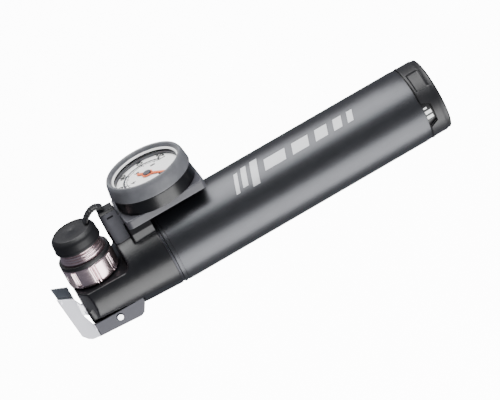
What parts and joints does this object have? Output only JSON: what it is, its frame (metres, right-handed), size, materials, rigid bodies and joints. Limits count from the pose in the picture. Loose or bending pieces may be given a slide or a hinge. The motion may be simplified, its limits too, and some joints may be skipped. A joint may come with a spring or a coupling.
{
  "type": "bicycle mini pump",
  "caption": "Hand pump with a sliding barrel, a thumb-locking valve chuck under a strapped dust cap, a round dial gauge and a turning selector cap.",
  "frame": {"origin": "centre of the valve port's mouth, on the chuck's axis", "axes": "+Z out of the valve port towards the dust cap, +X along the barrel towards the selector cap, +Y to the far side"},
  "size_m": [0.1633, 0.033, 0.0495],
  "materials": {
    "head_plastic": "fine moulded texture",
    "bracket_plastic": "fine moulded texture",
    "bezel_plastic": "satin",
    "case_plastic": "satin",
    "lens": "clear",
    "dial_paint": "matt white print",
    "needle_paint": "matt orange red",
    "brass": "turned",
    "collar_alloy": "bronze pink anodised",
    "barrel_alloy": "dark grey anodised",
    "bare_alloy": "turned",
    "lever_steel": "pressed and polished",
    "steel": "turned",
    "black_rubber": "matt",
    "cap_plastic": "satin",
    "bush_plastic": "plain",
    "legend_plastic": "plain"
  },
  "bodies": {
    "head": {"head_body": "head_plastic", "head_washer": "steel", "gauge_bracket": "bracket_plastic", "bracket_screws": "steel", "strap_anchor": "black_rubber", "gauge_case": "case_plastic", "gauge_bezel": "bezel_plastic", "gauge_lens": "lens", "gauge_dial": "dial_paint", "movement_plate": "brass", "bourdon_tube": "brass", "gauge_stem": "brass", "sector_pivot": "steel", "chuck_spigot": "bare_alloy", "valve_grommet": "black_rubber", "inner_tube": "bare_alloy", "tube_seal": "black_rubber", "valve_spring": "steel", "piston": "bush_plastic", "piston_seal": "black_rubber"},
    "barrel_handle": {"barrel": "barrel_alloy", "front_bush": "bush_plastic", "bush_wiper": "black_rubber", "end_plug": "cap_plastic", "legend_ring": "legend_plastic", "cap_screw": "steel", "detent_ball": "steel", "detent_spring": "steel"},
    "mode_cap": {"mode_cap": "cap_plastic"},
    "thumb_lever": {"thumb_lever": "lever_steel", "lever_pad": "black_rubber", "lever_pin": "steel", "lever_cam": "steel"},
    "plunger": {"plunger": "bush_plastic", "plunger_orings": "black_rubber"},
    "chuck_collar": {"chuck_collar": "collar_alloy", "collar_oring": "black_rubber"},
    "dust_cap": {"dust_cap": "black_rubber", "cap_strap": "black_rubber"},
    "sector_gear": {"sector_gear": "brass"},
    "gauge_needle": {"gauge_needle": "needle_paint", "needle_arbor": "brass"},
    "check_valve": {"check_poppet": "black_rubber"}
  },
  "joints": [
    {"name": "barrel_slide", "type": "slide", "parent": "head", "child": "barrel_handle", "axis": [1, 0, 0], "range_m": [0, 0.085]},
    {"name": "mode_turn", "type": "hinge", "parent": "barrel_handle", "child": "mode_cap", "pos_m": [0.1367, 0, -0.022], "axis": [1, 0, 0], "range_deg": [0, 60]},
    {"name": "lever_swing", "type": "hinge", "parent": "head", "child": "thumb_lever", "pos_m": [0, 0, -0.0326], "axis": [0, -1, 0], "range_deg": [0, 90]},
    {"name": "plunger_lift", "type": "slide", "parent": "head", "child": "plunger", "axis": [0, 0, 1], "range_m": [0, 0.0015]},
    {"name": "collar_turn", "type": "hinge", "parent": "head", "child": "chuck_collar", "pos_m": [0, 0, 0], "axis": [0, 0, 1], "range_deg": [0, 720]},
    {"name": "dust_cap_lift", "type": "slide", "parent": "head", "child": "dust_cap", "axis": [0, 0, 1], "range_m": [0, 0.014]},
    {"name": "sector_swing", "type": "hinge", "parent": "head", "child": "sector_gear", "pos_m": [0.0282, 0, 0], "axis": [0, 0, 1], "range_deg": [0, 53.9], "stiffness_Nm_per_rad": 0.0001},
    {"name": "needle_turn", "type": "hinge", "parent": "head", "child": "gauge_needle", "pos_m": [0.0352, 0, 0], "axis": [0, 0, -1], "range_deg": [0, 270]},
    {"name": "valve_lift", "type": "slide", "parent": "head", "child": "check_valve", "axis": [-1, 0, 0], "range_m": [0, 0.0012], "stiffness_N_per_m": 50, "springref_m": -0.001}
  ],
  "couplings": [
    {"joint": "plunger_lift", "follows": "lever_swing", "m_per_rad": 0.00095},
    {"joint": "needle_turn", "follows": "sector_swing", "ratio": 5}
  ]
}
